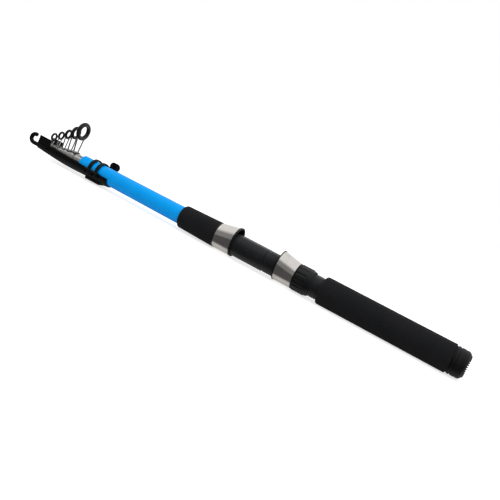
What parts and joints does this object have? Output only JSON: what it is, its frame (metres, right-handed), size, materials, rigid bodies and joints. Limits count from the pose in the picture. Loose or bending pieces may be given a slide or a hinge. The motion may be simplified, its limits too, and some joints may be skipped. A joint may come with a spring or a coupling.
{
  "type": "telescopic fishing rod",
  "caption": "Telescopic spinning rod, closed, with foam grips, a screw-down reel seat, nesting sections with ring guides, and a strapped tip cover.",
  "frame": {"origin": "on the rod axis, in the middle of the straight length of the rear grip", "axes": "+X along the rod toward the butt cap, so the tip is at -X; +Z toward the guides and the reel foot"},
  "size_m": [0.4769, 0.0261, 0.0515],
  "materials": {
    "blue_lacquer": "gloss",
    "grey_lacquer": "gloss",
    "grip_foam": "matte",
    "black_rubber": "matte",
    "black_plastic": "satin",
    "grey_plastic": "satin",
    "polished_steel": "polished",
    "steel_wire": "bright",
    "ring_black": "gloss",
    "collar_grey": "satin",
    "bushing_card": "matte"
  },
  "bodies": {
    "handle": {"butt_section": "blue_lacquer", "butt_ferrule": "grey_plastic", "rear_grip": "grip_foam", "seat_arbors": "bushing_card", "reel_seat_tube": "black_plastic", "fixed_hood": "polished_steel", "fixed_hood_liner": "black_plastic", "seat_check": "black_rubber", "foregrip": "grip_foam"},
    "cap_seal_body": {"cap_seal": "black_rubber"},
    "cap": {"butt_cap": "black_rubber", "butt_plug": "grey_plastic"},
    "hood": {"moving_hood": "polished_steel", "moving_hood_liner": "black_plastic", "slip_washer": "black_plastic"},
    "nut": {"locking_nut": "black_plastic"},
    "second": {"section_2": "grey_lacquer", "collar_2": "collar_grey", "guide_frame_2": "steel_wire", "guide_ring_2": "ring_black"},
    "third": {"section_3": "grey_lacquer", "collar_3": "collar_grey", "guide_frame_3": "steel_wire", "guide_ring_3": "ring_black"},
    "fourth": {"section_4": "grey_lacquer", "collar_4": "collar_grey", "guide_frame_4": "steel_wire", "guide_ring_4": "ring_black"},
    "fifth": {"section_5": "grey_lacquer", "collar_5": "collar_grey", "guide_frame_5": "steel_wire", "guide_ring_5": "ring_black"},
    "tip": {"section_6": "grey_lacquer", "tip_sleeve": "collar_grey", "tip_frame": "steel_wire", "tip_ring": "ring_black"},
    "cover": {"tip_cover": "black_plastic", "strap_pin": "grey_plastic", "strap_stud": "black_plastic"},
    "strap": {"cover_strap": "black_rubber"}
  },
  "joints": [
    {"name": "cap_travel", "type": "slide", "parent": "handle", "child": "cap_seal_body", "axis": [1, 0, 0], "range_m": [0, 0.012]},
    {"name": "cap_spin", "type": "hinge", "parent": "cap_seal_body", "child": "cap", "pos_m": [0.0726, 0, 0], "axis": [1, 0, 0], "range_deg": [0, 2160]},
    {"name": "hood_travel", "type": "slide", "parent": "handle", "child": "hood", "axis": [-1, 0, 0], "range_m": [-0.009, 0.02]},
    {"name": "nut_spin", "type": "hinge", "parent": "hood", "child": "nut", "pos_m": [-0.0708, 0, 0], "axis": [-1, 0, 0], "range_deg": [-1620, 3600]},
    {"name": "second_slide", "type": "slide", "parent": "handle", "child": "second", "axis": [-1, 0, 0], "range_m": [0, 0.33]},
    {"name": "third_slide", "type": "slide", "parent": "second", "child": "third", "axis": [-1, 0, 0], "range_m": [0, 0.33]},
    {"name": "fourth_slide", "type": "slide", "parent": "third", "child": "fourth", "axis": [-1, 0, 0], "range_m": [0, 0.33]},
    {"name": "fifth_slide", "type": "slide", "parent": "fourth", "child": "fifth", "axis": [-1, 0, 0], "range_m": [0, 0.33]},
    {"name": "tip_slide", "type": "slide", "parent": "fifth", "child": "tip", "axis": [-1, 0, 0], "range_m": [0, 0.33]},
    {"name": "cover_drop", "type": "slide", "parent": "handle", "child": "cover", "axis": [0, 0, -1], "range_m": [0, 0.0138]},
    {"name": "strap_swing", "type": "hinge", "parent": "cover", "child": "strap", "pos_m": [-0.3139, -0.01043, -0.0016], "axis": [1, 0, 0], "range_deg": [0, 132]}
  ],
  "couplings": [
    {"joint": "cap_spin", "follows": "cap_travel", "rad_per_m": 3141.6},
    {"joint": "nut_spin", "follows": "hood_travel", "rad_per_m": 3141.6},
    {"joint": "strap_swing", "follows": "cover_drop", "rad_per_m": 166.6}
  ]
}
